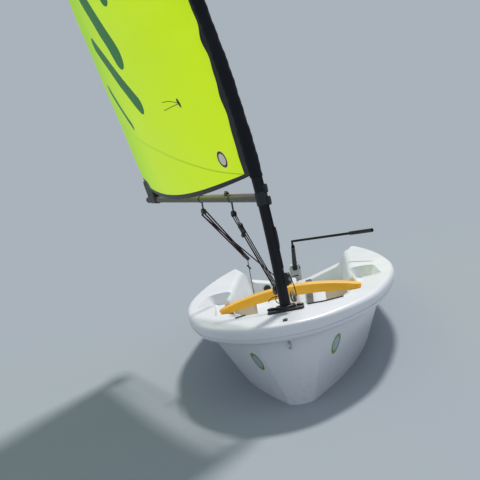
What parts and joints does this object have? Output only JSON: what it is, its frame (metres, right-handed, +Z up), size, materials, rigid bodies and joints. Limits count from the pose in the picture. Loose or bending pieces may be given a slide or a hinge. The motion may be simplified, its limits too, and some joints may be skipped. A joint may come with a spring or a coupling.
{
  "type": "sailing dinghy",
  "caption": "Small single-sail training dinghy with a decked plastic hull, open well, daggerboard, lifting rudder, unstayed mast and boom.",
  "frame": {"origin": "on the design waterline, amidships, on the centreline", "axes": "+X to the bow, +Y to port, +Z up"},
  "size_m": [3.8806, 1.9737, 6.1367],
  "materials": {
    "hull_white": "glossy moulded polyethylene",
    "thwart_yellow": "glossy moulded plastic",
    "black_plastic": "satin black nylon",
    "rubber_black": "matt rubber",
    "steel": "satin stainless",
    "mast_black": "black anodised",
    "boom_grey": "grey anodised",
    "stock_grey": "cast and anodised",
    "foil_white": "smooth",
    "webbing": "woven webbing",
    "sleeve_cloth": "woven black cloth",
    "sail_cloth": "bright woven sailcloth"
  },
  "bodies": {
    "hull": {"hull": "hull_white", "thwart": "thwart_yellow", "thwart_pillars": "hull_white", "mast_collar": "black_plastic", "step_plate": "black_plastic", "gudgeons": "steel", "toe_straps": "webbing", "strap_anchors": "hull_white", "sheet_base": "black_plastic", "bow_eye": "steel", "deck_eye": "black_plastic", "aft_hatch": "black_plastic"},
    "rig": {"mast_lower": "mast_black", "mast_upper": "mast_black", "mast_head": "black_plastic", "luff_sleeve": "sleeve_cloth", "sail": "sail_cloth", "boom": "boom_grey", "boom_end": "black_plastic", "gooseneck": "black_plastic", "boom_block": "black_plastic", "kicker_upper": "black_plastic", "kicker_lower": "black_plastic"},
    "board": {"daggerboard": "foil_white", "board_head": "black_plastic"},
    "rudder": {"rudder_head": "stock_grey", "pintles": "steel", "tiller": "mast_black", "tiller_joint": "rubber_black", "tiller_extension": "mast_black", "extension_grip": "rubber_black"},
    "blade": {"blade": "foil_white"}
  },
  "joints": [
    {"name": "rig_swing", "type": "hinge", "parent": "hull", "child": "rig", "pos_m": [1.4, 0, 0.43833], "axis": [-0.0279, 0, 0.9996], "range_deg": [-117, 63]},
    {"name": "board_lift", "type": "slide", "parent": "hull", "child": "board", "axis": [0, 0, 1], "range_m": [0, 0.42]},
    {"name": "rudder_steer", "type": "hinge", "parent": "hull", "child": "rudder", "pos_m": [-1.848, 0, 0.1], "axis": [0, 0, 1], "range_deg": [-48, 42]},
    {"name": "blade_lift", "type": "hinge", "parent": "rudder", "child": "blade", "pos_m": [-1.94986, -0.00534, 0.14], "axis": [-0.0523, 0.9986, 0], "range_deg": [0, 90]}
  ]
}
